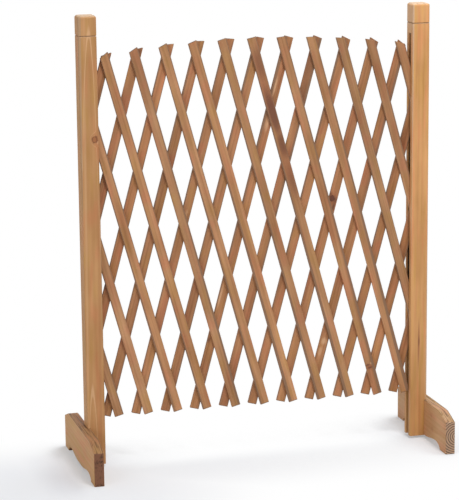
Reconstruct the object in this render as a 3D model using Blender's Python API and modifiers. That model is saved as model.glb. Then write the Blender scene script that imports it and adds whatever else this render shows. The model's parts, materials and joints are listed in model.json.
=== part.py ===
"""Expandable wooden fence: a riveted lazy-tongs lattice between two slotted posts on feet.

Run with: blender --background --python part.py
Metres, +Z up. The fence runs along X, the front is -Y, and the floor is z = 0.

The lattice has two layers of slats. The front layer leans to the left at the top and the back
layer leans to the right. Rows of crossings are counted from the top, and places along a row from 1
at the left post's pin to PLACES at the right post's. Each row uses every other place, and the next
row those between. Every crossing has a rivet, but the two on the pins. The slats that end at the
first and last places do so inside the posts' slots, where the middle row turns on a pin and the
others slide. Opening the tongs turns every slat by the same angle.

The skilled feature is the lattice: its hole pattern, the ends that work inside the slots, and the
slats' tops, which are sawn to one arch while the tongs are shut.
"""

import math

import bmesh
import bpy
from mathutils import Matrix, Vector

# Clearances between pieces that touch or turn on each other
GAP = 0.0003
RIVET_PLAY = 0.0004
SLOT_PLAY = 0.0009
SLOT_END_PLAY = 0.0009
SLOT_HEADROOM = 0.006

# Lattice
ROWS = 7
COLUMNS = 11
HOLE_SPACING = 0.1276
REST_ANGLE = math.radians(15.27)
CLOSED_ANGLE = math.radians(4.65)
FLOOR_CLEARANCE = 0.096
SLAT_WIDTH = 0.020
SLAT_THICKNESS = 0.006
SLAT_EASE = 0.0006
SLOT_END_MARGIN = 0.010
BOTTOM_MARGIN = 0.0538
CROWN_MARGIN = 0.0383
ARCH_RADIUS = 0.229

# Rivets and pivot pins
RIVET_RADIUS = 0.0015
RIVET_ROOT = 0.003
RIVET_HEAD_RADIUS = 0.0030
RIVET_HEAD_HEIGHT = 0.0011
PIN_RADIUS = 0.0020
PIN_COVER = 0.004
PIN_RECESS = 0.0005

# Posts
POST_SIDE = 0.040
POST_OVER_SLOT = 0.0665
POST_LIFT = 0.006
SLOT_WALL = 0.0065
POST_EDGE_RADIUS = 0.003
POST_TOP_RADIUS = 0.0055
GROOVE_DROP = 0.0435
GROOVE_DEPTH = 0.0020
GROOVE_HALF_WIDTH = 0.0014

# Feet
FOOT_LENGTH = 0.320
FOOT_THICKNESS = 0.022
FOOT_HEIGHT = 0.090
FOOT_END_DROP = 0.016
FOOT_SLOPE_LENGTH = 0.045
FOOT_CORNER_RADIUS = 0.040
FOOT_EASE = 0.0010
PAD_LENGTH = 0.038
ARCH_LENGTH = 0.030
ARCH_HEIGHT = 0.014
BELLY_HALF_LENGTH = 0.022
LET_IN = 0.006

# Dowels that join each foot to its post
DOWEL_RADIUS = 0.003
DOWEL_LENGTH = 0.030
DOWEL_COVER = 0.0067
DOWEL_MARGIN = 0.024

# Facets of round and curved pieces
ROUND_SIDES = 10
UNDERSIDE_STEPS = 5
FOOT_CORNER_STEPS = 2
POST_EDGE_STEPS = 2
POST_TOP_STEPS = 3
ROUND_PROFILE = 0.5
SHARP_ANGLE = math.radians(40)
EASED_ANGLE = math.radians(30)
FLAT_ANGLE = math.radians(0.5)
MERGE_DISTANCE = 0.00001

# Rows and places of the lattice, and the number of the two slats on the left post's pin
MIDDLE_ROW = (ROWS + 1) // 2
PLACES = 2 * COLUMNS + 1
MIDDLE_PLACE = COLUMNS + 1
PINNED_SLAT = MIDDLE_ROW // 2

# Depths, measured along Y from the posts' middle plane, where the riveted lattice is centred
RIVET_TAIL = GAP + RIVET_HEAD_HEIGHT
LAYER_PLANE = -RIVET_TAIL / 2
FRONT_LAYER = LAYER_PLANE - (GAP + SLAT_THICKNESS) / 2
BACK_LAYER = LAYER_PLANE + (GAP + SLAT_THICKNESS) / 2
SLOT_HALF_WIDTH = SLAT_THICKNESS + (GAP + RIVET_TAIL) / 2 + SLOT_PLAY

# Distances along X from a post's pin
SLAT_END_REACH = math.hypot(SLOT_END_MARGIN, SLAT_WIDTH / 2)
SLOT_DEPTH_BEYOND_PIN = SLAT_END_REACH + SLOT_END_PLAY
PIN_INSET = POST_SIDE - LET_IN - SLOT_WALL - SLOT_DEPTH_BEYOND_PIN

# Height of the middle row, for slats whose lower ends clear the floor in the closed fence
BOTTOM_REACH = (ROWS - MIDDLE_ROW) * HOLE_SPACING + BOTTOM_MARGIN
PIVOT_HEIGHT = FLOOR_CLEARANCE + BOTTOM_REACH * math.cos(CLOSED_ANGLE)

LEAN = {"front": -1, "back": 1}
WOOD = {
    "post": (0.545, 0.284, 0.117),
    "foot": (0.434, 0.255, 0.125),
    "front": (0.434, 0.205, 0.084),
    "back": (0.376, 0.162, 0.065),
    "dowel": (0.62, 0.42, 0.23),
}
STEEL = (0.55, 0.54, 0.52)
WOOD_ROUGHNESS = 0.55
STEEL_ROUGHNESS = 0.35


def x_at(place, angle):
    """World X of a place, with the slats at this angle from upright."""
    return (place - MIDDLE_PLACE) * HOLE_SPACING * math.sin(angle)


def row_height(row, angle):
    return PIVOT_HEIGHT + (MIDDLE_ROW - row) * HOLE_SPACING * math.cos(angle)


def place_of(layer, number, row):
    """Place at which a slat passes a row."""
    return 1 + 2 * (number - PINNED_SLAT) - LEAN[layer] * (row - MIDDLE_ROW)


def slat_at(layer, place, row):
    """Number of the slat that passes a row at a place."""
    return PINNED_SLAT + (place - 1 + LEAN[layer] * (row - MIDDLE_ROW)) // 2


def rows_of(layer, number):
    """Rows that a slat crosses, from its top end to its bottom end."""
    return [row for row in range(1, ROWS + 1) if 1 <= place_of(layer, number, row) <= PLACES]


def crossing(layer, number, row, angle):
    """World X and Z of the middle of a slat where it passes a row."""
    return x_at(place_of(layer, number, row), angle), row_height(row, angle)


def pin_x(side, angle):
    """World X of a post's pivot pin. The side is -1 for the left post and 1 for the right."""
    return side * x_at(PLACES, angle)


def slat_name(layer, number):
    return f"{layer}_slat_{number:02d}"


def carriers():
    """What each slat turns on, and in which row, as (layer, number, carrier, row).

    The slats on the left post's pin come first. Each slat in turn then carries those that cross
    it and have no carrier yet, from its top row down, until the whole lattice hangs together.
    """
    tree = [(layer, PINNED_SLAT, "post_left", MIDDLE_ROW) for layer in LEAN]
    carried = {(layer, number) for layer, number, _, _ in tree}
    for layer, number, _, _ in tree:
        other = "back" if layer == "front" else "front"
        for row in rows_of(layer, number):
            slat = other, slat_at(other, place_of(layer, number, row), row)
            if slat not in carried:
                carried.add(slat)
                tree.append((*slat, slat_name(layer, number), row))
    return tree


# The arch that the tops are sawn to, in the closed fence
ARCH_CENTRE_Z = row_height(1, CLOSED_ANGLE) + CROWN_MARGIN - ARCH_RADIUS
POST_INNER_CLOSED = pin_x(1, CLOSED_ANGLE) - PIN_INSET
SLOT_TOP = ARCH_CENTRE_Z + math.sqrt(ARCH_RADIUS**2 - POST_INNER_CLOSED**2) + SLOT_HEADROOM
POST_TOP = SLOT_TOP + POST_OVER_SLOT


def arch_above(layer, number, across):
    """Height of the arch above a slat's row 1 hole, along the slat, at a distance across it."""
    x, z = crossing(layer, number, 1, CLOSED_ANGLE)
    turn = LEAN[layer] * CLOSED_ANGLE
    dz = z - ARCH_CENTRE_Z
    along_width = x * math.cos(turn) - dz * math.sin(turn)
    along_length = x * math.sin(turn) + dz * math.cos(turn)
    return math.sqrt(ARCH_RADIUS**2 - (across + along_width) ** 2) - along_length


def clear_scene():
    for obj in list(bpy.data.objects):
        bpy.data.objects.remove(obj)


def new_collection(name):
    collection = bpy.data.collections.new(name)
    bpy.context.scene.collection.children.link(collection)
    return collection


def new_material(name, color, roughness, metallic=0.0):
    material = bpy.data.materials.new(name)
    material.use_nodes = True
    shader = material.node_tree.nodes["Principled BSDF"]
    shader.inputs["Base Color"].default_value = (*color, 1.0)
    shader.inputs["Roughness"].default_value = roughness
    shader.inputs["Metallic"].default_value = metallic
    return material


def object_from(bm, name, collection):
    """Turns a bmesh into an object of its own, with every face pointing out."""
    bmesh.ops.recalc_face_normals(bm, faces=bm.faces)
    mesh = bpy.data.meshes.new(name)
    bm.to_mesh(mesh)
    bm.free()
    obj = bpy.data.objects.new(name, mesh)
    collection.objects.link(obj)
    return obj


def shade_round(obj):
    """Shades a faceted round piece smooth, but not over its rims."""
    obj.data.shade_smooth()
    obj.data.set_sharp_from_angle(angle=SHARP_ANGLE)
    return obj


def box_bmesh(low, high):
    """A box between two corners."""
    low, high = Vector(low), Vector(high)
    bm = bmesh.new()
    bmesh.ops.create_cube(bm, size=1.0)
    size = Matrix.Diagonal((high - low).to_4d())
    bm.transform(Matrix.Translation((low + high) / 2) @ size)
    return bm


def add_rod(bm, start, end, radius):
    """Adds a capped cylinder between two points, flat to flat twice the radius across."""
    start, end = Vector(start), Vector(end)
    direction = end - start
    turn = Vector((0, 0, 1)).rotation_difference(direction).to_matrix().to_4x4()
    bmesh.ops.create_cone(bm, cap_ends=True, segments=ROUND_SIDES, radius1=radius, radius2=radius,
                          depth=direction.length, matrix=Matrix.Translation((start + end) / 2) @ turn)


def hole_radius(piece_radius, play):
    """Corner radius of a faceted hole whose flats clear a faceted piece."""
    return (piece_radius + play) / math.cos(math.pi / ROUND_SIDES)


def as_cutter(obj):
    obj.hide_render = True
    obj.display_type = "WIRE"
    return obj


def boolean(target, tool, operation):
    modifier = target.modifiers.new(f"{operation.lower()} {tool.name}", "BOOLEAN")
    modifier.operation = operation
    modifier.solver = "EXACT"
    modifier.object = tool


def ease_edges(obj, width):
    """Takes the corner off every sharp edge, as sandpaper does."""
    modifier = obj.modifiers.new("eased edges", "BEVEL")
    modifier.width = width
    modifier.segments = 1
    modifier.limit_method = "ANGLE"
    modifier.angle_limit = EASED_ANGLE


def outline_bmesh(points, thickness):
    """A flat outline in X and Y, given as a curve and made thick along Z."""
    curve = bpy.data.curves.new("outline", "CURVE")
    curve.dimensions = "2D"
    curve.fill_mode = "BOTH"
    curve.extrude = thickness / 2
    spline = curve.splines.new("POLY")
    spline.points.add(len(points) - 1)
    for point, (x, y) in zip(spline.points, points):
        point.co = (x, y, 0, 1)
    spline.use_cyclic_u = True
    holder = bpy.data.objects.new("outline", curve)
    bpy.context.scene.collection.objects.link(holder)
    evaluated = holder.evaluated_get(bpy.context.evaluated_depsgraph_get())
    mesh = bpy.data.meshes.new_from_object(evaluated)
    bm = bmesh.new()
    bm.from_mesh(mesh)
    bmesh.ops.remove_doubles(bm, verts=bm.verts, dist=MERGE_DISTANCE)
    bmesh.ops.dissolve_limit(bm, angle_limit=FLAT_ANGLE, verts=bm.verts, edges=bm.edges)
    bpy.data.objects.remove(holder)
    bpy.data.meshes.remove(mesh)
    bpy.data.curves.remove(curve)
    return bm


# Slats

def slat_outline(layer, number, pivot_row):
    """Corners of a slat in its own frame: X across, Y along, with the pivot's hole at zero."""
    rows = rows_of(layer, number)
    half = SLAT_WIDTH / 2
    top = (pivot_row - rows[0]) * HOLE_SPACING
    bottom = (pivot_row - rows[-1]) * HOLE_SPACING
    if rows[0] == 1:
        top_left = top + arch_above(layer, number, -half)
        top_right = top + arch_above(layer, number, half)
    else:
        top_left = top_right = top + SLOT_END_MARGIN
    bottom -= BOTTOM_MARGIN if rows[-1] == ROWS else SLOT_END_MARGIN
    return [(-half, bottom), (half, bottom), (half, top_right), (-half, top_left)]


def is_pinned(layer, number, row):
    """Whether a crossing turns on a post's pin, which takes the place of a rivet."""
    return row == MIDDLE_ROW and place_of(layer, number, row) in (1, PLACES)


def rivets_for(layer, number, pivot_row, cutters):
    """All rivets of a front slat: shank through both slats, with a head behind the back slat."""
    bm = bmesh.new()
    back_face = BACK_LAYER + SLAT_THICKNESS / 2
    inner_face = FRONT_LAYER + SLAT_THICKNESS / 2
    for row in rows_of(layer, number):
        if is_pinned(layer, number, row):
            continue
        z = (pivot_row - row) * HOLE_SPACING
        root, neck, tail = inner_face - RIVET_ROOT, back_face + GAP, back_face + RIVET_TAIL
        profile = [(0, root), (RIVET_RADIUS, root), (RIVET_RADIUS, neck), (RIVET_HEAD_RADIUS, neck),
                   (RIVET_HEAD_RADIUS, tail), (0, tail)]
        verts = [bm.verts.new((radius, depth - FRONT_LAYER, z)) for radius, depth in profile]
        edges = [bm.edges.new(pair) for pair in zip(verts, verts[1:])]
        bmesh.ops.spin(bm, geom=verts + edges, cent=(0, 0, z), axis=(0, 1, 0), angle=math.tau,
                       steps=ROUND_SIDES, use_merge=True, use_duplicate=False)
    bmesh.ops.remove_doubles(bm, verts=bm.verts, dist=MERGE_DISTANCE)
    rivets = object_from(bm, f"rivets_{slat_name(layer, number)}", cutters)
    return as_cutter(shade_round(rivets))


def holes_for(layer, number, pivot_row, cutters):
    """Holes of a slat: rivet holes in the back layer, and pin holes where a post's pin passes."""
    bm = bmesh.new()
    for row in rows_of(layer, number):
        pinned = is_pinned(layer, number, row)
        if layer == "front" and not pinned:
            continue
        radius = hole_radius(PIN_RADIUS if pinned else RIVET_RADIUS, RIVET_PLAY)
        z = (pivot_row - row) * HOLE_SPACING
        add_rod(bm, (0, -SLAT_THICKNESS, z), (0, SLAT_THICKNESS, z), radius)
    if not bm.verts:
        bm.free()
        return None
    holes = object_from(bm, f"holes_{slat_name(layer, number)}", cutters)
    return as_cutter(shade_round(holes))


def make_slat(layer, number, pivot_row, parts, cutters, material):
    """A slat at rest, with its origin on the rivet or pin that it turns on."""
    bm = outline_bmesh(slat_outline(layer, number, pivot_row), SLAT_THICKNESS)
    bm.transform(Matrix.Rotation(math.pi / 2, 4, "X"))
    slat = object_from(bm, slat_name(layer, number), parts)
    slat.data.materials.append(material)
    x, z = crossing(layer, number, pivot_row, REST_ANGLE)
    slat.location = (x, FRONT_LAYER if layer == "front" else BACK_LAYER, z)
    slat.rotation_euler = (0, LEAN[layer] * REST_ANGLE, 0)
    ease_edges(slat, SLAT_EASE)
    tools = [(holes_for(layer, number, pivot_row, cutters), "DIFFERENCE")]
    if layer == "front":
        tools.append((rivets_for(layer, number, pivot_row, cutters), "UNION"))
    for tool, operation in tools:
        if tool:
            tool.location = slat.location
            tool.rotation_euler = slat.rotation_euler
            boolean(slat, tool, operation)
    return slat


# Posts

def groove_cutter(name, x, cutters):
    """A square ring with a V edge, which cuts the line round a post near its top."""
    bm = bmesh.new()
    corner = math.sqrt(2)
    floor_of_groove = POST_SIDE / 2 - GROOVE_DEPTH
    mouth = POST_SIDE / 2 + GROOVE_DEPTH
    z = POST_TOP - GROOVE_DROP
    spread = 2 * GROOVE_HALF_WIDTH
    profile = [(floor_of_groove, z), (mouth, z + spread), (mouth, z - spread)]
    verts = [bm.verts.new((corner * r, 0, height)) for r, height in profile]
    edges = [bm.edges.new((verts[i], verts[i - 1])) for i in range(3)]
    bmesh.ops.spin(bm, geom=verts + edges, cent=(0, 0, 0), axis=(0, 0, 1), angle=math.tau,
                   steps=4, use_merge=True, use_duplicate=False)
    bmesh.ops.remove_doubles(bm, verts=bm.verts, dist=MERGE_DISTANCE)
    bm.transform(Matrix.Translation((x, 0, 0)) @ Matrix.Rotation(math.pi / 4, 4, "Z"))
    return as_cutter(object_from(bm, name, cutters))


def side_box(side, near, far, y_half, z_low, z_high):
    """A box given by its distances from the fence's middle, on the left (-1) or right (1)."""
    x_low, x_high = sorted((side * near, side * far))
    return box_bmesh((x_low, -y_half, z_low), (x_high, y_half, z_high))


def make_post(side, parts, cutters, material):
    """A square post: rounded top, grooved line, slot for the lattice and seat for the foot."""
    name = "post_left" if side < 0 else "post_right"
    pin = abs(pin_x(side, REST_ANGLE))
    inner = pin - PIN_INSET
    outer = inner + POST_SIDE
    half = POST_SIDE / 2
    past = POST_SIDE

    bm = side_box(side, inner, outer, half, POST_LIFT, POST_TOP)
    upright = [e for e in bm.edges if abs(e.verts[0].co.z - e.verts[1].co.z) > past]
    bmesh.ops.bevel(bm, geom=upright, offset=POST_EDGE_RADIUS, segments=POST_EDGE_STEPS,
                    profile=ROUND_PROFILE, affect="EDGES")
    top = [e for e in bm.edges if all(v.co.z > POST_TOP - GAP for v in e.verts)]
    bmesh.ops.bevel(bm, geom=top, offset=POST_TOP_RADIUS, segments=POST_TOP_STEPS,
                    profile=ROUND_PROFILE, affect="EDGES")
    post = object_from(bm, name, parts)
    post.data.materials.append(material)

    slot = side_box(side, inner - past, pin + SLOT_DEPTH_BEYOND_PIN, SLOT_HALF_WIDTH, -past, SLOT_TOP)
    seat = side_box(side, outer - LET_IN - GAP, outer + past, past, -past, FOOT_HEIGHT + GAP)
    holes = bmesh.new()
    blind_end = (side * pin, PIN_COVER - half, PIVOT_HEIGHT)
    add_rod(holes, blind_end, (side * pin, past, PIVOT_HEIGHT), hole_radius(PIN_RADIUS, GAP))
    add_dowel_holes(holes, side)
    tools = {
        "slot": object_from(slot, f"slot_{name}", cutters),
        "seat": object_from(seat, f"foot_seat_{name}", cutters),
        "holes": shade_round(object_from(holes, f"holes_{name}", cutters)),
        "groove": groove_cutter(f"groove_{name}", side * (inner + outer) / 2, cutters),
    }
    for tool in tools.values():
        boolean(post, as_cutter(tool), "DIFFERENCE")
    return post


def make_pin(side, parts, material):
    """The pin that the lattice's middle row turns on, driven in from behind the post."""
    x = pin_x(side, REST_ANGLE)
    half = POST_SIDE / 2
    bm = bmesh.new()
    add_rod(bm, (x, PIN_COVER + GAP - half, PIVOT_HEIGHT), (x, half - PIN_RECESS, PIVOT_HEIGHT),
            PIN_RADIUS)
    pin = shade_round(object_from(bm, "pivot_pin_left" if side < 0 else "pivot_pin_right", parts))
    pin.data.materials.append(material)
    return pin


# Feet and their dowels

def foot_planes():
    """Distances from the fence's middle to a foot's inner and outer faces."""
    post_outer = pin_x(1, REST_ANGLE) - PIN_INSET + POST_SIDE
    inner = post_outer - LET_IN
    return inner, inner + FOOT_THICKNESS


def dowel_places():
    """Y and Z of a foot's dowels, each in the middle of a post's cheek beside the slot."""
    cheek_middle = (SLOT_HALF_WIDTH + POST_SIDE / 2) / 2
    heights = POST_LIFT + DOWEL_MARGIN, FOOT_HEIGHT - DOWEL_MARGIN
    return [(y, z) for z in heights for y in (-cheek_middle, cheek_middle)]


def dowel_ends():
    """Distances from the fence's middle to a dowel's ends, the one in the post first."""
    _, outer = foot_planes()
    end = outer - DOWEL_COVER - GAP
    return end - DOWEL_LENGTH, end


def add_dowel_holes(bm, side):
    near, far = dowel_ends()
    for y, z in dowel_places():
        add_rod(bm, (side * (near - GAP), y, z), (side * (far + GAP), y, z),
                hole_radius(DOWEL_RADIUS, GAP))


def foot_half_outline():
    """Half of a foot seen from the side, from the middle of its underside to that of its top."""
    half = FOOT_LENGTH / 2
    pad = half - PAD_LENGTH
    crown = pad - ARCH_LENGTH
    points = []
    for i in range(UNDERSIDE_STEPS):
        t = i / UNDERSIDE_STEPS
        rise = (1 - math.cos(math.pi * t)) / 2
        y = BELLY_HALF_LENGTH + t * (crown - BELLY_HALF_LENGTH)
        points.append((y, POST_LIFT + rise * (ARCH_HEIGHT - POST_LIFT)))
    for i in range(UNDERSIDE_STEPS + 1):
        a = math.pi / 2 * i / UNDERSIDE_STEPS
        points.append((crown + ARCH_LENGTH * math.sin(a), ARCH_HEIGHT * math.cos(a)))
    points += [(half, 0), (half, FOOT_HEIGHT - FOOT_END_DROP)]
    slope = math.atan2(FOOT_END_DROP, FOOT_SLOPE_LENGTH)
    centre_y = half - FOOT_SLOPE_LENGTH - FOOT_CORNER_RADIUS * math.tan(slope / 2)
    centre_z = FOOT_HEIGHT - FOOT_CORNER_RADIUS
    for i in range(FOOT_CORNER_STEPS, -1, -1):
        a = slope * i / FOOT_CORNER_STEPS
        points.append((centre_y + FOOT_CORNER_RADIUS * math.sin(a),
                       centre_z + FOOT_CORNER_RADIUS * math.cos(a)))
    return points


def make_foot(side, parts, cutters, material):
    """A foot board on the outer side of a post, arched underneath and sloped at both ends."""
    half = foot_half_outline()
    outline = half + [(-y, z) for y, z in reversed(half)]
    inner, outer = foot_planes()
    bm = outline_bmesh(outline, FOOT_THICKNESS)
    stand = Matrix.Rotation(math.pi / 2, 4, "Z") @ Matrix.Rotation(math.pi / 2, 4, "X")
    bm.transform(Matrix.Translation((side * (inner + outer) / 2, 0, 0)) @ stand)
    name = "foot_left" if side < 0 else "foot_right"
    foot = object_from(bm, name, parts)
    foot.data.materials.append(material)
    ease_edges(foot, FOOT_EASE)
    holes = bmesh.new()
    add_dowel_holes(holes, side)
    holes = shade_round(object_from(holes, f"holes_{name}", cutters))
    boolean(foot, as_cutter(holes), "DIFFERENCE")
    return foot


def make_dowels(side, parts, material):
    near, far = dowel_ends()
    where = "left" if side < 0 else "right"
    dowels = []
    for number, (y, z) in enumerate(dowel_places(), start=1):
        bm = bmesh.new()
        add_rod(bm, (side * near, y, z), (side * far, y, z), DOWEL_RADIUS)
        dowel = shade_round(object_from(bm, f"dowel_{where}_{number}", parts))
        dowel.data.materials.append(material)
        dowels.append(dowel)
    return dowels


def hang(child, carrier):
    """Parents a piece to its carrier where both stand now."""
    child.parent = carrier
    child.matrix_parent_inverse = carrier.matrix_world.inverted()


def set_origin(obj, place):
    """Moves an object's origin, and leaves its shape where it is."""
    shift = Matrix.Translation(place)
    obj.data.transform(shift.inverted())
    obj.matrix_world = shift


def build():
    clear_scene()
    parts = new_collection("expandable_wooden_fence")
    cutters = new_collection("cutters")
    materials = {
        name: new_material(f"{name}_wood", color, WOOD_ROUGHNESS) for name, color in WOOD.items()
    }
    steel = new_material("pin_steel", STEEL, STEEL_ROUGHNESS, metallic=1.0)

    pieces = {}
    fixed = []
    for side in (-1, 1):
        post = make_post(side, parts, cutters, materials["post"])
        pieces[post.name] = post
        pin = make_pin(side, parts, steel)
        foot = make_foot(side, parts, cutters, materials["foot"])
        for piece in [pin, foot, *make_dowels(side, parts, materials["dowel"])]:
            fixed.append((piece, post))
        set_origin(post, (pin_x(side, REST_ANGLE), 0, PIVOT_HEIGHT))
    tree = carriers()
    for layer, number, _, row in tree:
        slat = make_slat(layer, number, row, parts, cutters, materials[layer])
        pieces[slat.name] = slat

    bpy.context.view_layer.update()
    for piece, post in fixed:
        hang(piece, post)
    for layer, number, carrier, _ in tree:
        hang(pieces[slat_name(layer, number)], pieces[carrier])
    last_slat = slat_at("front", PLACES, MIDDLE_ROW)
    hang(pieces["post_right"], pieces[slat_name("front", last_slat)])
    bpy.context.view_layer.update()


build()
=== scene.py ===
"""Looks of the expandable wooden fence: stained softwood, steel rivets, floor, light and camera.

The pieces of the fence are the CAD model's solids, apart from the posts: a copy with its top
rounded anew stands in for each. The wood is a solid pattern in each board's own frame: growth
rings round a pith line, fibres along the grain, knots and stain. So faces, edges and end grain of
one board belong together from any side.
"""

import json
import math
import random
from dataclasses import dataclass

import bmesh
import bpy
from mathutils import Matrix, Vector


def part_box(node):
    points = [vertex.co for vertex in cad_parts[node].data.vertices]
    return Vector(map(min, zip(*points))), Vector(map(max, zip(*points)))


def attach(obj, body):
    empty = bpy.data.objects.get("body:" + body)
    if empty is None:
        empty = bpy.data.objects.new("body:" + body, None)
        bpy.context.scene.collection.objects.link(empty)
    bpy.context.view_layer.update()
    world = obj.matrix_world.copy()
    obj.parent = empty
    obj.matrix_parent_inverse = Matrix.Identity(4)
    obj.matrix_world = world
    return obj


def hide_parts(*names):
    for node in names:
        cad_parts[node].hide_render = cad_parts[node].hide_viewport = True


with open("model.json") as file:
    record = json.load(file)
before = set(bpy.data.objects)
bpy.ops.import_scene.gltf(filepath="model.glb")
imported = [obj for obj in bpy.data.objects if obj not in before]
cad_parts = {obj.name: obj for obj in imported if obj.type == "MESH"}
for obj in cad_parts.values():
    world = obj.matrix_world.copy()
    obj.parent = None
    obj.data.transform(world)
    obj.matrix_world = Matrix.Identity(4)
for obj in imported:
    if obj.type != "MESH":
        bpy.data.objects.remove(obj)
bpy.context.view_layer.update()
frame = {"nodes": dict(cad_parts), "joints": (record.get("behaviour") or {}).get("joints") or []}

# Sizes repeated from the model, in metres
REST_ANGLE = math.radians(15.27)
SLATS_PER_LAYER = 14
SLAT_HALF_WIDTH, SLAT_THICKNESS = 0.010, 0.006
RIVETS_BEHIND_Y = 0.0  # a front slat's solid is steel behind this plane
POST_HALF_SIDE = 0.020
POST_TOP_RADIUS = 0.0055

# How a post's top is rebuilt
POST_TOP_STEPS = 6
MERGE_DISTANCE = 1e-6
LEVEL_TOLERANCE = 1e-4
SHARP_IN_TOP, SHARP_ELSEWHERE = math.radians(20), math.radians(40)

# The photograph's camera
IMAGE_HEIGHT = 500
SENSOR_WIDTH = 36.0
CLIP_NEAR, CLIP_FAR = 0.1, 60.0
FOCAL_PIXELS = 2211.33
CAMERA_PLACE = Vector((-1.3264, -4.6313, 1.4756))
CAMERA_YAW = math.radians(15.2549)
CAMERA_TILT = math.radians(11.8614)
CAMERA_ROLL = math.radians(0.5808)

# Two overhead softboxes, one behind and to the right, one in front, and a weak fill from the left:
# name, place, target, diameter and power
LAMPS = (
    ("overhead_back", (0.9, 0.5, 2.8), (0, 0, 0.3), 1.8, 27.0),
    ("overhead_front", (0.5, -2.2, 4.0), (0, 0, 0.4), 1.1, 98.0),
    ("fill", (-3.0, -2.0, 1.2), (0, 0, 0.5), 2.2, 27.0),
)
WORLD_LIGHT = 0.38  # the surround's strength as light, where the camera sees 1

# The floor: what it reflects on the fence, and what the camera sees of it
FLOOR_RADIUS = 12.0
FLOOR_AS_LIT, FLOOR_AS_SEEN = (0.6, 0.6, 0.6), (0.76, 0.78, 0.82)
FLOOR_ROUGHNESS, FLOOR_SPECULAR = 0.8, 0.1

# The floor's shades in the photograph, in metres. A band has a rise and a fall
CONTACT_REACH, CONTACT_FADE = 0.25, (0.62, 0.93)
LEFT_SHADE, LEFT_FADE = ((-0.62, -0.22, 0), (1.0, 0.75, 1)), (0.25, 0.62)
FRONT_BAND = (-0.31, -0.11), (-0.08, 0.03)
FRONT_SPAN, FRONT_STRENGTH = (-0.30, 0.42), (0.78, 0.36)  # from the left to the right
FOOT_BAND_X = (-0.54, -0.475), (-0.455, -0.425)
FOOT_BAND_Y = (-0.26, -0.14), (0.06, 0.16)
SHADE_SHARE, FOOT_SHARE = 0.68, 0.30

# Colours, linear
POST_LIGHT, POST_DARK = (0.585, 0.312, 0.134), (0.41, 0.196, 0.070)
GOLDEN_LIGHT, GOLDEN_DARK = (0.78, 0.405, 0.165), (0.54, 0.262, 0.088)
FOOT_LIGHT, FOOT_DARK = (0.64, 0.352, 0.148), (0.48, 0.237, 0.087)
INNER_FOOT_LIGHT, INNER_FOOT_DARK = (0.65, 0.385, 0.190), (0.475, 0.250, 0.107)
FRONT_LIGHT, FRONT_DARK = (0.55, 0.285, 0.141), (0.31, 0.143, 0.057)
BACK_LIGHT, BACK_DARK = (0.525, 0.243, 0.111), (0.265, 0.108, 0.043)
DOWEL_LIGHT, DOWEL_DARK = (0.62, 0.44, 0.25), (0.46, 0.29, 0.14)
# Edge colours: painted shade on the slats' and feet's edges, a painted sheen on the left post's
# edges and a painted highlight on the right post's
SLAT_EDGE_SHADE = (0.250, 0.140, 0.082)
POST_EDGE_SHEEN = (0.37, 0.255, 0.165)
FOOT_EDGE_SHADE = (0.26, 0.15, 0.085)
PALE_EDGE_HIGHLIGHT = (0.62, 0.45, 0.32)
SAWN_END = (0.105, 0.062, 0.038)
FOOT_END = (0.19, 0.078, 0.044)
INNER_FOOT_END = (0.55, 0.345, 0.222)
# The posts' tops: end grain painted pale, a painted highlight of the light from above
PALE_END_HIGHLIGHT = (0.62, 0.47, 0.33)
# Painted shade deep inside the right post's slot
SLOT_SHADE = (0.065, 0.036, 0.021)
GROOVE_SHADE = (0.40, 0.19, 0.07)
RED_STAIN = (0.35, 0.135, 0.060)
DARK_STAIN = (0.155, 0.062, 0.036)
PALE_WOOD = (0.76, 0.47, 0.27)
STEEL = (0.56, 0.55, 0.53)

# Tints that multiply the colour under them
REDDISH, GREENISH = (1.05, 0.91, 0.95), (0.97, 1.0, 0.84)
LEFT_FOOT_TOP, RIGHT_FOOT_TOP = (0.58, 0.56, 0.62), (0.80, 0.84, 0.95)

# A knot's heart and rim
COMMON_KNOT = (0.38, 0.150, 0.058), (0.17, 0.058, 0.025)
BROWN_KNOT = (0.160, 0.056, 0.032), (0.100, 0.037, 0.023)

# Noises drawn out along the grain: scale across it, share of that along it, and detail
BEND_NOISE = (4.0, 0.5, 1.0)
RIPPLE_NOISE = (70.0, 0.2, 2.0)
FIBRE_NOISE = (1100.0, 0.014, 3.0)
STREAK_NOISE = (150.0, 0.025, 2.0)
CLOUD_NOISE = (30.0, 0.25, 2.0)
SEED_STEPS = (1.7, 3.1, 5.3)

# Rings: how far they bend and ripple in metres, how they darken from 0 to 1 across one ring, and
# the thin pale line where the next begins
BEND_SIZE, RIPPLE_SIZE = 0.006, 0.0016
LATEWOOD_POWER, LATEWOOD_GAIN, LATEWOOD_END = 2.4, 1.5, 0.86
RING_LINE = (0.0, 0.012), (0.022, 0.05)

# How much each noise darkens a board, and how far its mean lies from light to dark
STREAK_WEIGHT, CLOUD_WEIGHT, FIBRE_WEIGHT = 0.9, 1.5, 0.5
MEAN_DARKNESS = 0.38
REDDISH_FADE, GREENISH_FADE = (0.50, 0.72), (0.28, 0.50)

# Marks and knots fade between two distances, in their own radii
MARK_FADE, MARK_UNEVENNESS = (0.3, 1.3), 0.8
KNOT_PUSH, KNOT_PUSH_FADE = 0.0035, (0.3, 2.6)  # rings give way to a knot by so many metres
KNOT_RIPPLE, KNOT_RIPPLE_SCALE = 0.9, 260.0
KNOT_BANDS = (((0.9, 2.0), 0.35), ((0.85, 1.15), 0.85), ((0.45, 0.85), 0.9))  # halo, rim, heart

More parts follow.
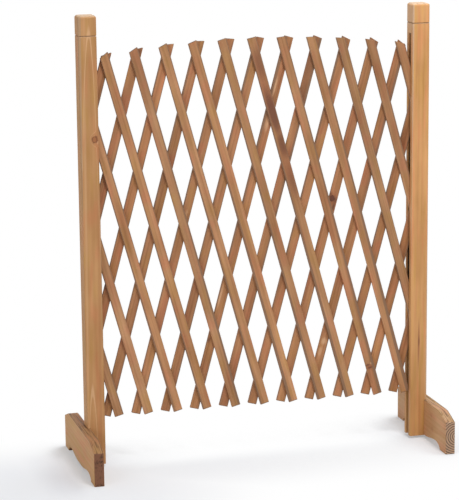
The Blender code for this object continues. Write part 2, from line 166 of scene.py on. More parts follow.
# Up-facing tint, end grain, painted edge shade and highlight, groove, and painted slot shade: by
# how far a face looks up or along the grain, and by the distance from an edge
LOOKS_UP, LOOKS_ALONG = (0.25, 0.6), (0.45, 0.9)
DIRT_SCALE, DIRT_STRETCH, DIRT_FADE, DIRT_TONE = 380.0, (1, 0.15, 0.035), (0.48, 0.62), 0.30
END_RING_TONE = 0.24
EDGE_FADE = (0.25, 1.25)  # in edge widths
EDGE_LEAN = 0.0005  # each board's right edges get a little more of its painted edge colour
GROOVE_CORE, GROOVE_STRENGTH = 0.3, 0.75
SLOT_FADE = (0.0005, 0.004)  # in metres behind the slot's mouth, where its painted shade deepens

# Surfaces: roughness over a range of the pattern, and relief as strength and distance
WOOD_ROUGH_RANGE, WOOD_ROUGHNESS = (0.3, 1.6), (0.55, 0.72)
WOOD_RELIEF, FIBRE_HEIGHT, RING_HEIGHT = (0.35, 0.0004), 0.7, -0.5
WOOD_SPECULAR = 0.3
STEEL_ROUGH_RANGE = (0.2, 0.8)
RIVET_SCALE, RIVET_ROUGHNESS, RIVET_SCUFF = 900.0, (0.28, 0.42), 0.6
PIN_SCALE, PIN_STRETCH, PIN_ROUGHNESS, PIN_SCRATCH = 2500.0, (1, 0.05, 1), (0.25, 0.45), 0.7
PIN_RELIEF = (0.2, 0.0002)


class Graph:
    """Adds and links the nodes of one node tree."""

    def __init__(self, tree):
        self.tree = tree

    def add(self, kind, **settings):
        node = self.tree.nodes.new(kind)
        for name, value in settings.items():
            setattr(node, name, value)
        return node

    def feed(self, socket, value):
        if isinstance(value, bpy.types.NodeSocket):
            self.tree.links.new(value, socket)
        else:
            socket.default_value = value

    def math(self, operation, a, b=0.0, clamp=False):
        node = self.add("ShaderNodeMath", operation=operation, use_clamp=clamp)
        self.feed(node.inputs[0], a)
        self.feed(node.inputs[1], b)
        return node.outputs[0]

    def vector(self, operation, a, b=(0, 0, 0)):
        node = self.add("ShaderNodeVectorMath", operation=operation)
        self.feed(node.inputs[0], a)
        self.feed(node.inputs[1], b)
        return node.outputs["Value" if operation in ("LENGTH", "DOT_PRODUCT") else "Vector"]

    def parts(self, vector):
        node = self.add("ShaderNodeSeparateXYZ")
        self.feed(node.inputs[0], vector)
        return node.outputs

    def mix(self, factor, a, b, blend="MIX"):
        node = self.add("ShaderNodeMix", data_type="RGBA", blend_type=blend)
        self.feed(node.inputs["Factor"], factor)
        self.feed(node.inputs[6], a)
        self.feed(node.inputs[7], b)
        return node.outputs[2]

    def noise(self, vector, scale, detail=2.0, output="Fac"):
        node = self.add("ShaderNodeTexNoise")
        self.feed(node.inputs["Vector"], vector)
        node.inputs["Scale"].default_value = scale
        node.inputs["Detail"].default_value = detail
        return node.outputs[output]

    def grain_noise(self, vector, settings, output="Fac"):
        """A noise drawn out along Z."""
        scale, along, detail = settings
        return self.noise(self.vector("MULTIPLY", vector, (1, 1, along)), scale, detail, output)

    def shade(self, color, factor):
        node = self.add("ShaderNodeVectorMath", operation="SCALE")
        self.feed(node.inputs[0], color)
        self.feed(node.inputs["Scale"], factor)
        return node.outputs[0]

    def between(self, value, low, high, at_low=0.0, at_high=1.0):
        """Smooth step of a value from at_low, at low, to at_high, at high."""
        node = self.add("ShaderNodeMapRange", interpolation_type="SMOOTHSTEP")
        self.feed(node.inputs["Value"], value)
        for name, number in (("From Min", low), ("From Max", high),
                             ("To Min", at_low), ("To Max", at_high)):
            node.inputs[name].default_value = number
        return node.outputs["Result"]

    def band(self, value, rise, fall):
        """1 from the end of the rise to the start of the fall, and 0 outside both."""
        return self.math("MULTIPLY", self.between(value, *rise),
                         self.between(value, *fall, 1.0, 0.0))

    def swing(self, value, size):
        """A noise's departure from its middle value, times a size."""
        return self.math("MULTIPLY", self.math("SUBTRACT", value, 0.5), size)

    def highest(self, values):
        total = values[0]
        for value in values[1:]:
            total = self.math("MAXIMUM", total, value)
        return total

    def distance(self, point, centre, radii):
        """How far a point lies from a centre, in radii."""
        away = self.vector("SUBTRACT", point, centre)
        return self.vector("LENGTH", self.vector("DIVIDE", away, radii))

    def seen(self):
        """1 where the camera sees a surface directly, reflected or through glass, otherwise 0."""
        path = self.add("ShaderNodeLightPath").outputs
        kinds = ("Camera", "Glossy", "Transmission")
        return self.highest([path[f"Is {kind} Ray"] for kind in kinds])

    def relief(self, shader, height, settings):
        bump = self.add("ShaderNodeBump")
        bump.inputs["Strength"].default_value, bump.inputs["Distance"].default_value = settings
        self.feed(bump.inputs["Height"], height)
        self.feed(shader.inputs["Normal"], bump.outputs["Normal"])


def rgba(color):
    return (*color, 1.0)


def scaled(color, factor):
    return tuple(min(1.0, c * factor) for c in color)


def new_material(name):
    """A material and its shader."""
    material = bpy.data.materials.new(name)
    material.use_nodes = True
    return material, material.node_tree.nodes["Principled BSDF"]


def group_interface(name, inputs, outputs):
    """A node group with sockets of these names and kinds, and a graph to fill it."""
    tree = bpy.data.node_groups.new(name, "ShaderNodeTree")
    for direction, sockets in (("INPUT", inputs), ("OUTPUT", outputs)):
        for socket, kind in sockets:
            tree.interface.new_socket(socket, in_out=direction, socket_type=f"NodeSocket{kind}")
    graph = Graph(tree)
    return graph, graph.add("NodeGroupInput").outputs, graph.add("NodeGroupOutput").inputs


def make_wood_group():
    """Wood in a board's frame, in metres, with Z along the grain and the pith near the Z axis."""
    graph, given, result = group_interface(
        "solid_wood",
        [("Grain", "Vector"), ("Pith", "Vector"), ("Knot push", "Float"), ("Ring width", "Float"),
         ("Wander", "Float"), ("Seed", "Float"), ("Hue size", "Vector")],
        [("Rings", "Float"), ("Ring edge", "Float"), ("Fibre", "Float"), ("Streak", "Float"),
         ("Cloud", "Float"), ("Hue", "Float")])
    seed = graph.add("ShaderNodeCombineXYZ")
    for socket, step in zip(seed.inputs, SEED_STEPS):
        graph.feed(socket, graph.math("MULTIPLY", given["Seed"], step))
    place = graph.vector("ADD", given["Grain"], seed.outputs[0])

    def stray(noise, size):
        color = graph.grain_noise(place, noise, "Color")
        off_middle = graph.vector("SUBTRACT", color, (0.5, 0.5, 0.5))
        return graph.vector("MULTIPLY", off_middle, (size, size, 0))

    # The trunk isn't straight: its rings wander slowly and ripple finely along the grain
    wander = graph.add("ShaderNodeCombineXYZ")
    graph.feed(wander.inputs[0], given["Wander"])
    graph.feed(wander.inputs[1], given["Wander"])
    bent = graph.vector("ADD", stray(BEND_NOISE, BEND_SIZE), stray(RIPPLE_NOISE, RIPPLE_SIZE))
    bent = graph.vector("MULTIPLY", bent, wander.outputs[0])
    centred = graph.vector("SUBTRACT", given["Grain"], given["Pith"])
    across = graph.vector("MULTIPLY", graph.vector("ADD", centred, bent), (1, 1, 0))
    radius = graph.math("ADD", graph.vector("LENGTH", across), given["Knot push"])
    turn = graph.math("FRACT", graph.math("DIVIDE", radius, given["Ring width"]))
    late = graph.math("MULTIPLY", graph.math("POWER", turn, LATEWOOD_POWER),
                      graph.between(turn, LATEWOOD_END, 1.0, 1.0, 0.0))
    graph.feed(result["Rings"], graph.math("MULTIPLY", late, LATEWOOD_GAIN, clamp=True))
    graph.feed(result["Ring edge"], graph.band(turn, *RING_LINE))

    graph.feed(result["Fibre"], graph.grain_noise(place, FIBRE_NOISE))
    graph.feed(result["Streak"], graph.grain_noise(place, STREAK_NOISE))
    graph.feed(result["Cloud"], graph.grain_noise(place, CLOUD_NOISE))
    hue_place = graph.vector("DIVIDE", place, given["Hue size"])
    graph.feed(result["Hue"], graph.noise(hue_place, 1.0, 1.0))
    return graph.tree


WOOD_GROUP = make_wood_group()


@dataclass
class Board:
    """How one board is cut from the trunk, how it has aged, and where light and shade are painted
    on it.

    centre and turn place the board's frame, whose Z is the grain's direction, and axis is that
    direction in the fence's frame. A knot is (place, radii) in the board's frame, and a stain, dark
    mark or pale spot (place, radii, strength).
    """
    name: str
    centre: tuple
    turn: tuple
    axis: tuple
    light: tuple
    dark: tuple
    seed: float
    pith: tuple
    ring_width: float = 0.005
    ring_depth: float = 0.3
    ring_line: float = 0.0
    wander: float = 1.0
    knots: tuple = ()
    knot_tones: tuple = COMMON_KNOT
    stains: tuple = ()
    dark_marks: tuple = ()
    pale_spots: tuple = ()
    contrast: float = 1.0
    hue_size: tuple = (0.017, 0.017, 0.085)
    hue_depth: float = 1.0
    tone_ends: tuple = None  # tone at the floor and at the fence's top
    section: tuple = None  # half width and half thickness, and the thickness's middle
    # edge_color, edge_width and painted_edge_share give painted shade along the edges of slats and
    # feet, a painted sheen along the left post's and a painted highlight along the right post's
    edge_color: tuple = SLAT_EDGE_SHADE
    edge_width: float = 0.002
    painted_edge_share: float = 0.0
    end_color: tuple = SAWN_END
    end_shade: float = 0.7
    end_rings: float = 1.0
    end_blotch: float = 0.0
    sawn_at: float = None  # the lower end's place along the grain
    slot: tuple = None  # where the slot's painted shade lies: half width, mouth and floor across the board, and top
    groove: tuple = None  # place along the grain, and half width
    up_tint_share: float = 0.0
    top_tint: tuple = (1.0, 1.0, 1.0)
    steel_behind: bool = False


class Wood(Graph):
    """One board's wood. Each method from marked on lays a feature over the colour so far."""

    def __init__(self, tree, board):
        super().__init__(tree)
        self.board = board
        texture = self.add("ShaderNodeTexCoord").outputs
        self.place, self.normal = texture["Object"], texture["Normal"]
        board_frame = self.add("ShaderNodeMapping", vector_type="TEXTURE")
        self.feed(board_frame.inputs["Vector"], self.place)
        board_frame.inputs["Location"].default_value = board.centre
        board_frame.inputs["Rotation"].default_value = board.turn
        self.grain = board_frame.outputs["Vector"]
        self.knots = [self.distance(self.grain, *knot) for knot in board.knots]
        wood = self.add("ShaderNodeGroup", node_tree=WOOD_GROUP)
        self.feed(wood.inputs["Grain"], self.grain)
        wood.inputs["Pith"].default_value = board.pith
        wood.inputs["Ring width"].default_value = board.ring_width
        wood.inputs["Wander"].default_value = board.wander
        wood.inputs["Seed"].default_value = board.seed
        wood.inputs["Hue size"].default_value = board.hue_size
        if self.knots:
            self.feed(wood.inputs["Knot push"], self.highest(
                [self.between(knot, *KNOT_PUSH_FADE, KNOT_PUSH, 0.0) for knot in self.knots]))
        patterns = ("Rings", "Ring edge", "Fibre", "Streak", "Cloud", "Hue")
        self.rings, self.ring_edge, self.fibre, self.streak, self.cloud, self.hue = (
            wood.outputs[name] for name in patterns)

    def stained(self):
        """Figure between the board's light and dark, reddish in some places, greenish in others."""
        board = self.board
        figure = self.math("MULTIPLY", self.rings, board.ring_depth)
        for part, weight in ((self.streak, STREAK_WEIGHT), (self.cloud, CLOUD_WEIGHT),
                             (self.fibre, FIBRE_WEIGHT)):
            figure = self.math("ADD", figure, self.swing(part, weight * board.contrast))
        darkness = self.math("ADD", figure, MEAN_DARKNESS, clamp=True)
        color = self.mix(darkness, rgba(board.light), rgba(board.dark))
        reddish = self.between(self.hue, *REDDISH_FADE, 0.0, board.hue_depth)
        greenish = self.between(self.hue, *GREENISH_FADE, board.hue_depth, 0.0)
        color = self.mix(reddish, color, rgba(REDDISH), "MULTIPLY")
        color = self.mix(greenish, color, rgba(GREENISH), "MULTIPLY")
        if board.tone_ends:
            height = self.parts(self.place)["Z"]
            color = self.shade(color, self.between(height, 0.0, 1.0, *board.tone_ends))
        if board.ring_line:
            line = self.math("MULTIPLY", self.ring_edge, board.ring_line)
            color = self.mix(line, color, rgba(PALE_WOOD))
        return color

    def marked(self, color):
        """Red and dark stains and pale spots, with outlines that follow the streaks."""
        board = self.board
        uneven = self.swing(self.streak, MARK_UNEVENNESS)
        for marks, tone in ((board.stains, RED_STAIN), (board.dark_marks, DARK_STAIN),
                            (board.pale_spots, PALE_WOOD)):
            covers = []
            for place, radii, strength in marks:
                distance = self.math("ADD", self.distance(self.grain, place, radii), uneven)
                covers.append(self.between(distance, *MARK_FADE, strength, 0.0))
            if covers:
                color = self.mix(self.highest(covers), color, rgba(tone))
        return color

    def tinted_top(self, color):
        """A face that looks up takes the board's top tint, with dirt in its streaks."""
        board = self.board
        up = self.between(self.parts(self.normal)["Z"], *LOOKS_UP, 0.0, board.up_tint_share)
        streaks = self.noise(self.vector("MULTIPLY", self.grain, DIRT_STRETCH), DIRT_SCALE, 3.0)
        color = self.mix(up, color, rgba(board.top_tint), "MULTIPLY")
        dirt = self.math("MULTIPLY", up, self.between(streaks, *DIRT_FADE))
        return self.mix(dirt, color, rgba(scaled(board.dark, DIRT_TONE)))

    def end_grain(self, color):
        """A face across the grain shows the rings cut through."""
        board = self.board
        along = self.math("ABSOLUTE", self.vector("DOT_PRODUCT", self.normal, board.axis))
        figure = self.math("ADD", self.math("MULTIPLY", self.rings, board.end_rings),
                           self.swing(self.streak, board.end_blotch), clamp=True)
        end = self.mix(figure, rgba(board.end_color), rgba(scaled(board.end_color, END_RING_TONE)))
        cover = self.math("MULTIPLY", self.between(along, *LOOKS_ALONG), board.end_shade)
        return self.mix(cover, color, end)

    def painted_edges(self, color):
        """Long edges, and the edges of a sawn lower end, get the board's edge colour: painted shade
        on slats and feet, a painted sheen on the left post and a painted highlight on the right
        post.
        """
        board = self.board
        half_width, half_thickness, middle = board.section
        place = self.parts(self.grain)
        from_middle = self.math("ABSOLUTE", self.math("ADD", place["X"], EDGE_LEAN))
        side = self.math("SUBTRACT", half_width, from_middle)
        from_middle = self.math("ABSOLUTE", self.math("SUBTRACT", place["Y"], middle))
        face = self.math("SUBTRACT", half_thickness, from_middle)
        edge = self.math("MAXIMUM", side, face)
        if board.sawn_at is not None:
            edge = self.math("MINIMUM", edge, self.math("SUBTRACT", place["Z"], board.sawn_at))
        edge = self.math("ADD", edge, self.swing(self.streak, board.edge_width))
        fade = (share * board.edge_width for share in EDGE_FADE)
        cover = self.between(edge, *fade, board.painted_edge_share, 0.0)
        return self.mix(cover, color, rgba(board.edge_color))

    def grooved(self, color):
        """The line cut round a post is dark in its middle."""
        height, half_width = self.board.groove
        off_line = self.math("ABSOLUTE", self.math("SUBTRACT", self.parts(self.grain)["Z"], height))
        cover = self.between(off_line, GROOVE_CORE * half_width, half_width, GROOVE_STRENGTH, 0.0)
        return self.mix(cover, color, rgba(GROOVE_SHADE))

    def painted_slot_shade(self, color):
        """Painted shade in the slot, deepening behind its mouth."""
        half_width, mouth, floor, top = self.board.slot
        place = self.parts(self.grain)
        inside = self.math("LESS_THAN", self.math("ABSOLUTE", place["Y"]), half_width)
        inside = self.math("MULTIPLY", inside, self.math("LESS_THAN", place["Z"], top))
        inside = self.math("MULTIPLY", inside, self.math("LESS_THAN", place["X"], floor))
        depth = self.between(place["X"], *(mouth + behind for behind in SLOT_FADE))
        return self.mix(self.math("MULTIPLY", inside, depth), color, rgba(SLOT_SHADE))

    def knotted(self, color):
        """Knots with a halo of red stain, a dark rim and a heart."""
        heart, rim = self.board.knot_tones
        ripple = self.swing(self.noise(self.grain, KNOT_RIPPLE_SCALE), KNOT_RIPPLE)
        distances = [self.math("ADD", knot, ripple) for knot in self.knots]
        for tone, (fade, strength) in zip((RED_STAIN, rim, heart), KNOT_BANDS):
            cover = self.highest([self.between(d, *fade, strength, 0.0) for d in distances])
            color = self.mix(cover, color, rgba(tone))
        return color

    def riveted(self, color, rough):
        """Colour, roughness and metal, with steel where the rivets stand behind a front slat."""
        metal = self.math("GREATER_THAN", self.parts(self.place)["Y"], RIVETS_BEHIND_Y)
        scuff = self.noise(self.place, RIVET_SCALE, 3.0)
        steel = self.mix(scuff, rgba(STEEL), rgba(scaled(STEEL, RIVET_SCUFF)))
        steel_rough = self.between(scuff, *STEEL_ROUGH_RANGE, *RIVET_ROUGHNESS)
        wood_rough = self.math("MULTIPLY", rough, self.math("SUBTRACT", 1.0, metal))
        rough = self.math("ADD", wood_rough, self.math("MULTIPLY", metal, steel_rough))
        return self.mix(metal, color, steel), rough, metal


def wood_material(board):
    """Stained softwood for one board."""
    material, shader = new_material(board.name)
    wood = Wood(material.node_tree, board)
    color = wood.marked(wood.stained())
    if board.up_tint_share:
        color = wood.tinted_top(color)
    color = wood.end_grain(color)
    if board.section:
        color = wood.painted_edges(color)
    if board.groove:
        color = wood.grooved(color)
    if board.slot:
        color = wood.painted_slot_shade(color)
    if board.knots:
        color = wood.knotted(color)

    rough = wood.math("ADD", wood.fibre, wood.rings)
    rough = wood.between(rough, *WOOD_ROUGH_RANGE, *WOOD_ROUGHNESS)
    if board.steel_behind:
        color, rough, metal = wood.riveted(color, rough)
        wood.feed(shader.inputs["Metallic"], metal)
    wood.feed(shader.inputs["Base Color"], color)
    wood.feed(shader.inputs["Roughness"], rough)
    shader.inputs["Specular IOR Level"].default_value = WOOD_SPECULAR
    height = wood.math("ADD", wood.math("MULTIPLY", wood.fibre, FIBRE_HEIGHT),
                       wood.math("MULTIPLY", wood.rings, RING_HEIGHT))
    wood.relief(shader, height, WOOD_RELIEF)
    return material


def brushed_steel(name):
    """Drawn steel wire, with fine scratches along the pin."""
    material, shader = new_material(name)
    graph = Graph(material.node_tree)
    place = graph.add("ShaderNodeTexCoord").outputs["Object"]
    scratch = graph.noise(graph.vector("MULTIPLY", place, PIN_STRETCH), PIN_SCALE, 3.0)
    color = graph.mix(scratch, rgba(STEEL), rgba(scaled(STEEL, PIN_SCRATCH)))
    rough = graph.between(scratch, *STEEL_ROUGH_RANGE, *PIN_ROUGHNESS)
    graph.feed(shader.inputs["Base Color"], color)
    graph.feed(shader.inputs["Roughness"], rough)
    shader.inputs["Metallic"].default_value = 1.0
    graph.relief(shader, scratch, PIN_RELIEF)
    return material


def dress(node, material):
    """Gives a solid of the CAD model its material."""
    for slot in frame["nodes"][node].material_slots:
        slot.material = material


def middle_of(node):
    low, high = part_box(node)
    return [(a + b) / 2 for a, b in zip(low, high)]


def heights(vertices):
    """The lowest and the highest Z of some mesh vertices."""
    found = [vertex.co.z for vertex in vertices]
    return min(found), max(found)


def round_top(node, body):
    """Stands a copy in for a post, with the top's rounding built on the straight part below."""
    source = frame["nodes"][node]
    middle = Vector(middle_of(node)[:2])
    bm = bmesh.new()
    bm.from_mesh(source.data)
    bmesh.ops.remove_doubles(bm, verts=bm.verts, dist=MERGE_DISTANCE)
    start = heights(bm.verts)[1] - POST_TOP_RADIUS
    above = [v for v in bm.verts if v.co.z > start + LEVEL_TOLERANCE]
    bmesh.ops.delete(bm, geom=above, context="VERTS")
    ring = [e for e in bm.edges if e.is_boundary]
    half = POST_HALF_SIDE
    for step in range(1, POST_TOP_STEPS + 1):
        angle = step / POST_TOP_STEPS * math.pi / 2
        next_half = POST_HALF_SIDE - POST_TOP_RADIUS * (1 - math.cos(angle))
        grown = bmesh.ops.extrude_edge_only(bm, edges=ring)["geom"]
        for vert in (g for g in grown if isinstance(g, bmesh.types.BMVert)):
            vert.co.xy = middle + (vert.co.xy - middle) * (next_half / half)
            vert.co.z = start + POST_TOP_RADIUS * math.sin(angle)
        ring = [g for g in grown if isinstance(g, bmesh.types.BMEdge) and g.is_boundary]
        half = next_half
    bmesh.ops.contextual_create(bm, geom=ring)
    bmesh.ops.recalc_face_normals(bm, faces=bm.faces)
    for face in bm.faces:
        low, high = heights(face.verts)
        if low > start - LEVEL_TOLERANCE:
            face.smooth = high - low > MERGE_DISTANCE
    for edge in bm.edges:
        in_top = heights(edge.verts)[0] > start - LEVEL_TOLERANCE
        edge.smooth = edge.calc_face_angle(0.0) < (SHARP_IN_TOP if in_top else SHARP_ELSEWHERE)
    mesh = bpy.data.meshes.new(f"{node}_timber")
    bm.to_mesh(mesh)
    bm.free()
    mesh.materials.append(source.material_slots[0].material)
    piece = bpy.data.objects.new(f"{node}_timber", mesh)
    bpy.context.scene.collection.objects.link(piece)
    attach(piece, body)
    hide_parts(node)


def dress_posts():
    """Upright grain: the left post is flat sawn, and the right post's grain is nearly straight.

    Near each end of the left post's face its rings draw a long arch.
    """
    common = {
        "axis": (0, 0, 1), "section": (POST_HALF_SIDE, POST_HALF_SIDE, 0.0),
        # painted sheen and highlight along the posts' edges
        "groove": (0.4564, 0.0014), "painted_edge_share": 0.6,
        # the posts' tops: pale end grain, a painted highlight
        "end_color": PALE_END_HIGHLIGHT, "end_shade": 0.75, "end_rings": 0.4,
    }
    left, right = middle_of("post_left")[0], middle_of("post_right")[0]
    dress("post_left", wood_material(Board(
        "wood_post_left", (left, 0, 0.5), (math.radians(-0.43), math.radians(0.64), 0),
        light=POST_LIGHT, dark=POST_DARK, seed=1.3, pith=(-0.0029, 0.03670, 0),
        ring_width=0.006, ring_depth=0.06, ring_line=0.5, wander=0.1, tone_ends=(1.0, 0.96),
        knots=(((0.0077, -0.020, 0.2336), (0.0066, 0.012, 0.0078)),),
        pale_spots=(((0.0145, -0.020, 0.227), (0.0030, 0.01, 0.005), 0.6),
                    ((-0.013, -0.020, 0.0), (0.0030, 0.01, 0.60), 0.25)),
        stains=(((0.015, -0.020, -0.10), (0.0040, 0.01, 0.45), 0.25),),
        edge_color=POST_EDGE_SHEEN, edge_width=0.0016, **common)))
    dress("post_right", wood_material(Board(
        "wood_post_right", (right, 0, 0.5), (math.radians(-0.2), math.radians(0.3), 0),
        light=GOLDEN_LIGHT, dark=GOLDEN_DARK, seed=4.1, pith=(0.055, 0.018, 0),
        ring_width=0.013, ring_depth=0.14, wander=0.8, contrast=1.2,
        hue_size=(0.009, 0.009, 0.11), tone_ends=(0.88, 1.03),
        stains=(((0.0008, -0.020, -0.275), (0.0026, 0.010, 0.055), 0.8),
                ((-0.006, -0.020, 0.10), (0.0030, 0.010, 0.50), 0.12)),
        dark_marks=(((0.0014, -0.020, -0.270), (0.0022, 0.010, 0.012), 0.5),),
        # the pale patch at the top of the left side is a painted highlight
        pale_spots=(((-0.0225, 0.0, 0.470), (0.0070, 0.030, 0.045), 0.85),),
        # painted shade inside the slot
        slot=(0.0082, -0.020, 0.0090, 0.44),
        edge_color=PALE_EDGE_HIGHLIGHT, edge_width=0.0020, **common)))
    round_top("post_left", "left_post")
    round_top("post_right", "right_post")


def dress_feet():
    """Grain from front to back, so the boards' ends show end grain."""
    common = {
        "turn": (-math.pi / 2, 0, 0), "axis": (0, 1, 0), "section": (0.011, 0.045, 0.0),
        # painted shade along the feet's edges
        "edge_color": FOOT_EDGE_SHADE, "edge_width": 0.0018,
    }
    left, right = middle_of("foot_left")[0], middle_of("foot_right")[0]
    dress("foot_left", wood_material(Board(
        "wood_foot_left", (left, 0, 0.045), light=FOOT_LIGHT, dark=FOOT_DARK,
        seed=7.7, pith=(0.060, 0.030, 0), ring_width=0.0050, ring_depth=0.02, contrast=0.55,
        tone_ends=(0.96, 0.96), painted_edge_share=0.6,
        end_color=FOOT_END, end_shade=0.95, end_rings=0.25, end_blotch=4.0,
        up_tint_share=0.85, top_tint=LEFT_FOOT_TOP, **common)))
    dress("foot_right", wood_material(Board(
        "wood_foot_right", (right, 0, 0.045), light=INNER_FOOT_LIGHT, dark=INNER_FOOT_DARK,
        seed=9.2, pith=(0.0140, 0.006, 0), ring_width=0.0052, ring_depth=0.12, wander=1.6,
        stains=(((-0.011, -0.021, -0.066), (0.010, 0.007, 0.010), 0.5),
                ((-0.011, 0.010, -0.073), (0.010, 0.010, 0.012), 0.5),
                ((-0.011, 0.0, -0.050), (0.010, 0.050, 0.045), 0.35)),
        pale_spots=(((-0.011, 0.0, -0.130), (0.012, 0.050, 0.035), 0.30),
                    ((-0.011, 0.0, 0.120), (0.012, 0.060, 0.060), 0.40)),
        painted_edge_share=0.5, end_color=INNER_FOOT_END, end_shade=1.0, end_rings=1.6,
        up_tint_share=0.8, top_tint=RIGHT_FOOT_TOP, **common)))


# Tones of the slats that stand out. The others draw theirs
SLAT_TONES = {
    ("front", 2): 1.04, ("front", 5): 0.97, ("front", 6): 1.07, ("front", 7): 1.15,
    ("front", 8): 0.97, ("front", 9): 1.08, ("front", 10): 1.03, ("front", 11): 1.03,
}

# Marks that stand out on single slats
SLAT_MARKS = {
    "front_slat_09": {
        "stains": (((0, -0.006, -0.10), (0.020, 0.020, 0.13), 0.70),
                   ((0, -0.006, -0.25), (0.020, 0.020, 0.12), 0.65)),
        "dark_marks": (((0.003, -0.006, -0.21), (0.013, 0.020, 0.034), 0.75),
                       ((0.0, -0.006, -0.135), (0.014, 0.020, 0.060), 0.85),
                       ((0.002, -0.006, -0.02), (0.012, 0.020, 0.040), 0.50),
                       ((0.003, -0.006, -0.30), (0.012, 0.020, 0.050), 0.45))},
    "front_slat_10": {
        "stains": (((0.001, -0.006, -0.751), (0.012, 0.010, 0.008), 0.9),),
        "dark_marks": (((-0.002, -0.006, -0.7455), (0.0080, 0.010, 0.0025), 0.75),
                       ((0.0035, -0.006, -0.7530), (0.0075, 0.010, 0.0026), 0.85)),
        "pale_spots": (((0.0075, -0.006, -0.7440), (0.0022, 0.010, 0.0035), 0.7),
                       ((-0.0075, -0.006, -0.7560), (0.0020, 0.010, 0.0040), 0.6))},
    "back_slat_02": {"dark_marks": (((0.006, 0, 0.400), (0.005, 0.010, 0.012), 0.6),)},
    "back_slat_03": {"stains": (((0.005, 0, 0.520), (0.006, 0.010, 0.018), 0.8),)},
    "back_slat_04": {"dark_marks": (((0.004, 0, 0.614), (0.005, 0.010, 0.008), 0.6),)},
    "back_slat_05": {
        "dark_marks": (((0.006, 0, 0.790), (0.0015, 0.010, 0.016), 0.7),),
        "pale_spots": (((-0.001, 0, 0.409), (0.0040, 0.010, 0.009), 0.35),)},
    "back_slat_07": {
        "dark_marks": (((-0.007, 0, -0.022), (0.004, 0.010, 0.009), 0.8),),
        "pale_spots": (((-0.0065, 0, 0.560), (0.0034, 0.010, 0.028), 0.60),
                       ((-0.003, 0, 0.478), (0.0060, 0.010, 0.022), 0.60),
                       ((-0.007, 0, 0.079), (0.0030, 0.010, 0.026), 0.55))},
    "back_slat_08": {
        "dark_marks": (((0, 0, 0.750), (0.014, 0.010, 0.060), 0.45),
                       ((0.002, 0, 0.660), (0.012, 0.010, 0.060), 0.35))},
    "back_slat_10": {
        "knots": (((-0.0025, 0, 0.4225), (0.0062, 0.012, 0.0078)),),
        "knot_tones": BROWN_KNOT,
        "stains": (((0.0, 0, 0.420), (0.012, 0.010, 0.018), 0.75),),
        "dark_marks": (((0.0048, 0, 0.4200), (0.0050, 0.010, 0.0090), 0.95),
                       ((0.0055, 0, 0.4050), (0.0034, 0.010, 0.0130), 0.85),
                       ((-0.0080, 0, 0.4290), (0.0045, 0.010, 0.0070), 0.8))},
    "back_slat_11": {
        "pale_spots": (((0.0, 0, 0.0835), (0.0070, 0.010, 0.009), 0.60),
                       ((-0.003, 0, 0.058), (0.0050, 0.010, 0.012), 0.40))},
}


def dress_slats():
    """Every slat is its own board, with its own tone, rings and fibres."""
    rng = random.Random(31)
    joints = {joint["child"]: joint for joint in frame["joints"]}
    for layer, lean, light, dark in (("front", -1, FRONT_LIGHT, FRONT_DARK),
                                     ("back", 1, BACK_LIGHT, BACK_DARK)):
        axis = Vector((lean * math.sin(REST_ANGLE), 0, math.cos(REST_ANGLE)))
        for number in range(1, SLATS_PER_LAYER + 1):
            node = f"{layer}_slat_{number:02d}"
            tone = SLAT_TONES.get((layer, number), rng.uniform(0.95, 1.06))
            warmth = rng.uniform(-0.025, 0.025)
            tint = (tone * (1 + warmth), tone, tone * (1 - warmth))
            tilt = (rng.uniform(-0.012, 0.012), lean * REST_ANGLE + rng.uniform(-0.008, 0.008), 0)
            hole = Vector(joints[node]["pos_m"])
            low_end = min((v.co - hole).dot(axis) for v in frame["nodes"][node].data.vertices)
            pith = (rng.uniform(-0.06, 0.06), rng.choice((-1, 1)) * rng.uniform(0.012, 0.07), 0)
            dress(node, wood_material(Board(
                f"wood_{node}", hole, tilt, axis,
                [c * t for c, t in zip(light, tint)], [c * t for c, t in zip(dark, tint)],
                seed=11.0 + rng.uniform(0, 40), pith=pith, ring_width=rng.uniform(0.0050, 0.0090),
                ring_depth=0.2, hue_size=(0.022, 0.022, 0.050), hue_depth=0.95,
                # painted shade along the slats' edges and sawn lower ends
                tone_ends=(1.06, 0.94), edge_width=0.0022, painted_edge_share=0.90, end_shade=0.9,
                section=(SLAT_HALF_WIDTH, SLAT_THICKNESS / 2, lean * SLAT_THICKNESS / 2),
                sawn_at=low_end, steel_behind=layer == "front", **SLAT_MARKS.get(node, {}))))


def dress_fasteners():
    """Steel for the pivot pins, and a paler wood for the dowels."""
    steel = brushed_steel("steel_pivot_pin")
    for side in ("left", "right"):
        dress(f"pivot_pin_{side}", steel)
        x = middle_of(f"foot_{side}")[0]
        dowel = wood_material(Board(
            f"wood_dowels_{side}", (x, 0, 0.05), (0, math.pi / 2, 0), (1, 0, 0),
            DOWEL_LIGHT, DOWEL_DARK, seed=60.0 + x, pith=(0.02, 0.02, 0), ring_width=0.003))
        for number in range(1, 5):
            dress(f"dowel_{side}_{number}", dowel)


def floor_share(graph, point):
    """How much of the floor's own colour shows at a point. The rest is white.

    The floor shows where anything stands on it, at any pose, and where the photograph has a soft
    shade: to the left, in front of the fence and beside the left foot.
    """
    x, y, _ = graph.parts(point)
    contact = graph.add("ShaderNodeAmbientOcclusion", samples=16)
    contact.inputs["Distance"].default_value = CONTACT_REACH
    front = graph.math("MULTIPLY", graph.band(y, *FRONT_BAND),
                       graph.between(x, *FRONT_SPAN, *FRONT_STRENGTH))
    shade = graph.highest([
        graph.between(graph.distance(point, *LEFT_SHADE), *LEFT_FADE, 1.0, 0.0),
        front,
        graph.between(contact.outputs["AO"], *CONTACT_FADE, 1.0, 0.0)])
    foot = graph.math("MULTIPLY", graph.band(x, *FOOT_BAND_X), graph.band(y, *FOOT_BAND_Y))
    return graph.math("ADD", graph.math("MULTIPLY", shade, SHADE_SHARE),
                      graph.math("MULTIPLY", foot, FOOT_SHARE))


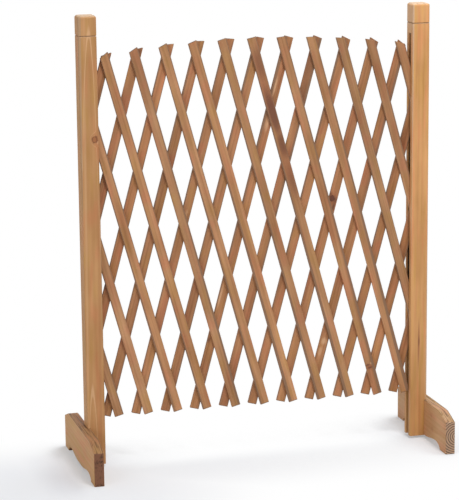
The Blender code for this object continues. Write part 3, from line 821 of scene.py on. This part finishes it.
def make_floor():
    """A pale floor that keeps the fence's shadow, and fades into the white background."""
    bpy.ops.mesh.primitive_circle_add(
        vertices=96, radius=FLOOR_RADIUS, fill_type="NGON", location=(0, 0, 0))
    floor = bpy.context.object
    floor.name = "studio_floor"
    material, shader = new_material("studio_floor")
    graph = Graph(material.node_tree)
    shader.inputs["Roughness"].default_value = FLOOR_ROUGHNESS
    shader.inputs["Specular IOR Level"].default_value = FLOOR_SPECULAR
    seen = graph.seen()
    color = graph.mix(seen, rgba(FLOOR_AS_LIT), rgba(FLOOR_AS_SEEN))
    graph.feed(shader.inputs["Base Color"], color)
    own = floor_share(graph, graph.add("ShaderNodeTexCoord").outputs["Object"])
    white = graph.add("ShaderNodeEmission")
    blend = graph.add("ShaderNodeMixShader")
    graph.feed(blend.inputs[0], graph.math("MULTIPLY", graph.math("SUBTRACT", 1.0, own), seen))
    graph.feed(blend.inputs[1], shader.outputs[0])
    graph.feed(blend.inputs[2], white.outputs[0])
    graph.feed(material.node_tree.nodes["Material Output"].inputs["Surface"], blend.outputs[0])
    floor.data.materials.append(material)


def make_world():
    """An even white surround. It is pure white to the camera and a little dimmer as light."""
    world = bpy.data.worlds.new("studio")
    bpy.context.scene.world = world
    world.use_nodes = True
    graph = Graph(world.node_tree)
    shader = world.node_tree.nodes["Background"]
    shader.inputs["Color"].default_value = (1, 1, 1, 1)
    added = graph.math("MULTIPLY", graph.seen(), 1.0 - WORLD_LIGHT)
    graph.feed(shader.inputs["Strength"], graph.math("ADD", added, WORLD_LIGHT))


def make_lights():
    """Large soft lamps, each aimed at a point."""
    for name, place, target, diameter, power in LAMPS:
        lamp = bpy.data.lights.new(name, "AREA")
        lamp.shape = "DISK"
        lamp.size = diameter
        lamp.energy = power
        holder = bpy.data.objects.new(name, lamp)
        bpy.context.scene.collection.objects.link(holder)
        holder.location = place
        aim = Vector(target) - Vector(place)
        holder.rotation_euler = aim.to_track_quat("-Z", "Y").to_euler()


def make_camera():
    """The photograph's view: yaw from +Y towards +X, tilt downwards, and a slight roll."""
    camera = bpy.data.cameras.new("camera")
    holder = bpy.data.objects.new("camera", camera)
    bpy.context.scene.collection.objects.link(holder)
    right = Vector((math.cos(CAMERA_YAW), -math.sin(CAMERA_YAW), 0))
    level = Vector((math.sin(CAMERA_YAW), math.cos(CAMERA_YAW), 0))
    forward = level * math.cos(CAMERA_TILT) - Vector((0, 0, math.sin(CAMERA_TILT)))
    up = right.cross(forward)
    side = right * math.cos(CAMERA_ROLL) - up * math.sin(CAMERA_ROLL)
    top = right * math.sin(CAMERA_ROLL) + up * math.cos(CAMERA_ROLL)
    turn = Matrix((side, top, -forward)).transposed()
    holder.matrix_world = Matrix.Translation(CAMERA_PLACE) @ turn.to_4x4()
    camera.sensor_width = SENSOR_WIDTH
    camera.lens = FOCAL_PIXELS * SENSOR_WIDTH / IMAGE_HEIGHT
    camera.clip_start, camera.clip_end = CLIP_NEAR, CLIP_FAR
    bpy.context.scene.camera = holder


dress_posts()
dress_feet()
dress_slats()
dress_fasteners()
make_floor()
make_world()
make_lights()
make_camera()
bpy.context.scene.view_settings.view_transform = "Standard"
